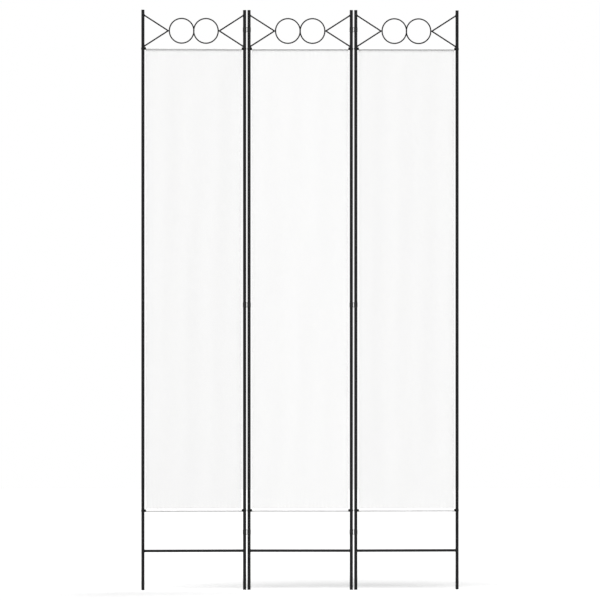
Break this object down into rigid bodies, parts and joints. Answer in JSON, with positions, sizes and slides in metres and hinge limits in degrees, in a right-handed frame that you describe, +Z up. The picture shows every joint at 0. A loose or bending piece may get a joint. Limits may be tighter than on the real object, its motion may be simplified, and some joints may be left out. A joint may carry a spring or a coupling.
{
  "type": "folding room divider screen",
  "caption": "Free-standing folding screen: steel tube panels with stretched cloth under a wire crest of rings and chevrons, joined by ring clips so that they fold.",
  "frame": {"origin": "on the floor, under the middle of the centre panel, which is the centre of the box", "axes": "+Z up along the posts; +X to the right along the centre panel as seen from the front; the front faces -Y, so +Y is to the rear"},
  "size_m": [1.2066, 0.1086, 2.2],
  "materials": {
    "black_steel": "satin black powder coat",
    "screw_steel": "blackened, satin",
    "black_plastic": "matte black nylon",
    "cloth": "plain-woven white polyester"
  },
  "bodies": {
    "centre_panel": {"post_3_upper": "black_steel", "post_3_lower": "black_steel", "post_4_upper": "black_steel", "post_4_lower": "black_steel", "chevron_3": "black_steel", "ring_3": "black_steel", "chevron_4": "black_steel", "ring_4": "black_steel", "centre_caps": "black_plastic", "centre_feet": "black_plastic", "centre_crossbar": "black_steel", "centre_top_rod": "black_steel", "centre_bottom_rod": "black_steel", "centre_rod_plugs": "black_plastic", "centre_rod_screws": "screw_steel", "centre_cloth": "cloth"},
    "left_clips": {"left_bottom_clip": "black_plastic", "left_middle_clip": "black_plastic", "left_top_clip": "black_plastic"},
    "left_panel": {"post_1_upper": "black_steel", "post_1_lower": "black_steel", "post_2_upper": "black_steel", "post_2_lower": "black_steel", "chevron_1": "black_steel", "ring_1": "black_steel", "chevron_2": "black_steel", "ring_2": "black_steel", "left_caps": "black_plastic", "left_feet": "black_plastic", "left_crossbar": "black_steel", "left_top_rod": "black_steel", "left_bottom_rod": "black_steel", "left_rod_plugs": "black_plastic", "left_rod_screws": "screw_steel", "left_cloth": "cloth"},
    "right_clips": {"right_bottom_clip": "black_plastic", "right_middle_clip": "black_plastic", "right_top_clip": "black_plastic"},
    "right_panel": {"post_5_upper": "black_steel", "post_5_lower": "black_steel", "post_6_upper": "black_steel", "post_6_lower": "black_steel", "chevron_5": "black_steel", "ring_5": "black_steel", "chevron_6": "black_steel", "ring_6": "black_steel", "right_caps": "black_plastic", "right_feet": "black_plastic", "right_crossbar": "black_steel", "right_top_rod": "black_steel", "right_bottom_rod": "black_steel", "right_rod_plugs": "black_plastic", "right_rod_screws": "screw_steel", "right_cloth": "cloth"}
  },
  "joints": [
    {"name": "left_clips_fold", "type": "hinge", "parent": "centre_panel", "child": "left_clips", "pos_m": [-0.194, 0, 1.1], "axis": [0, 0, 1], "range_deg": [-43.5, 86.5]},
    {"name": "left_panel_fold", "type": "hinge", "parent": "left_clips", "child": "left_panel", "pos_m": [-0.21097, -0.00104, 1.1], "axis": [0, 0, 1], "range_deg": [-43.5, 86.5]},
    {"name": "right_clips_fold", "type": "hinge", "parent": "centre_panel", "child": "right_clips", "pos_m": [0.194, 0, 1.1], "axis": [0, 0, 1], "range_deg": [-43.5, 86.5]},
    {"name": "right_panel_fold", "type": "hinge", "parent": "right_clips", "child": "right_panel", "pos_m": [0.21097, 0.00104, 1.1], "axis": [0, 0, 1], "range_deg": [-43.5, 86.5]}
  ],
  "couplings": [
    {"joint": "left_clips_fold", "follows": "left_panel_fold", "ratio": 1},
    {"joint": "right_clips_fold", "follows": "right_panel_fold", "ratio": 1}
  ]
}
